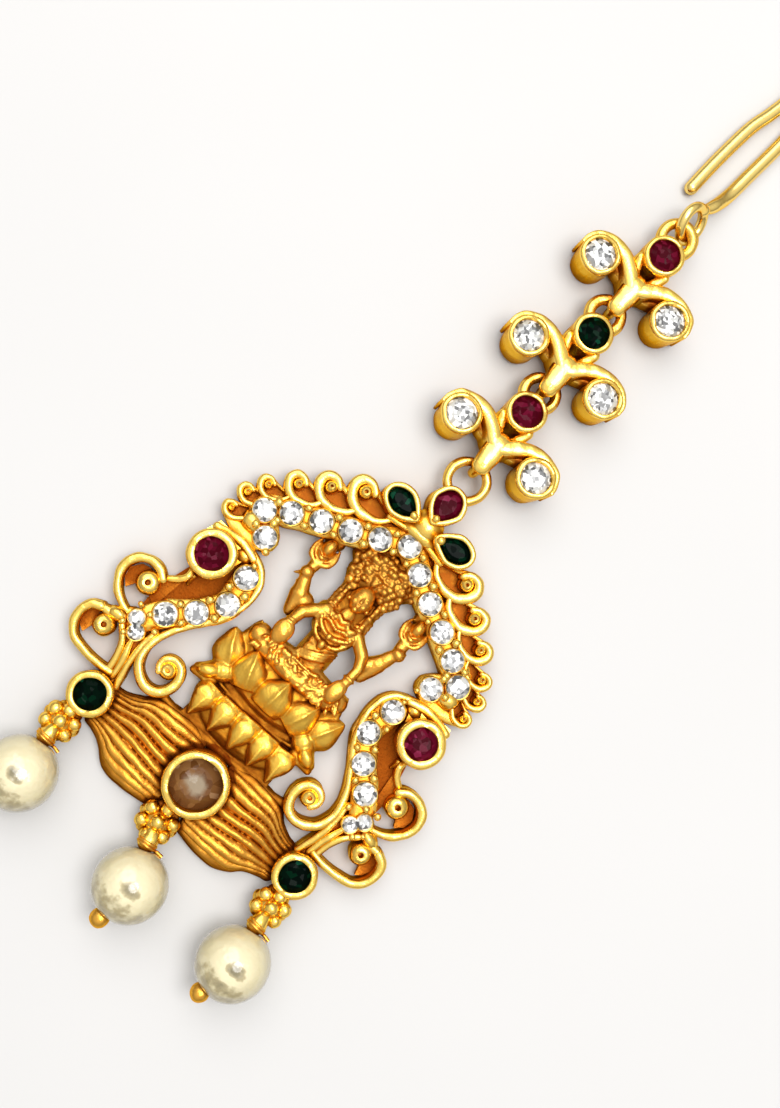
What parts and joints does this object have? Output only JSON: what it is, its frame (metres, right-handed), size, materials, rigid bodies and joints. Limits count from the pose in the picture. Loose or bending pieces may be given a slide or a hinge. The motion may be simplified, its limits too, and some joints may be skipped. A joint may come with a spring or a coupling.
{
  "type": "maang tikka hair jewel",
  "caption": "Hair jewel: an arched pendant with a seated relief figure, set stones and pearl drops, hung on stone-set links from a wire hair hook.",
  "frame": {"origin": "middle of the base of the whole object's box, on the surface it lies on", "axes": "+Y along the jewel from the pearls to the hair hook, +X to the right of its face, +Z out of its face"},
  "size_m": [0.0316, 0.0908, 0.006],
  "materials": {
    "gold": "gold-plated brass, polished on the rims, antiqued in the recesses",
    "ruby": "faceted, foil-backed",
    "emerald": "faceted, foil-backed",
    "crystal": "faceted brilliant",
    "pearl": "pearl lustre"
  },
  "bodies": {
    "root": {"pendant_casting": "gold", "ruby_left": "ruby", "ruby_right": "ruby", "emerald_left": "emerald", "emerald_right": "emerald", "centre_stone": "crystal", "pear_emerald_left": "emerald", "pear_emerald_right": "emerald", "pear_ruby": "ruby", "pearl_left": "pearl", "pearl_centre": "pearl", "pearl_right": "pearl", "pearl_pin_left": "gold", "pearl_pin_centre": "gold", "pearl_pin_right": "gold", "link_lower": "gold", "link_lower_centre_stone": "ruby", "link_lower_left_stone": "crystal", "link_lower_right_stone": "crystal", "link_middle": "gold", "link_middle_centre_stone": "emerald", "link_middle_left_stone": "crystal", "link_middle_right_stone": "crystal", "link_upper": "gold", "link_upper_centre_stone": "ruby", "link_upper_left_stone": "crystal", "link_upper_right_stone": "crystal", "hair_hook": "gold"}
  },
  "joints": []
}
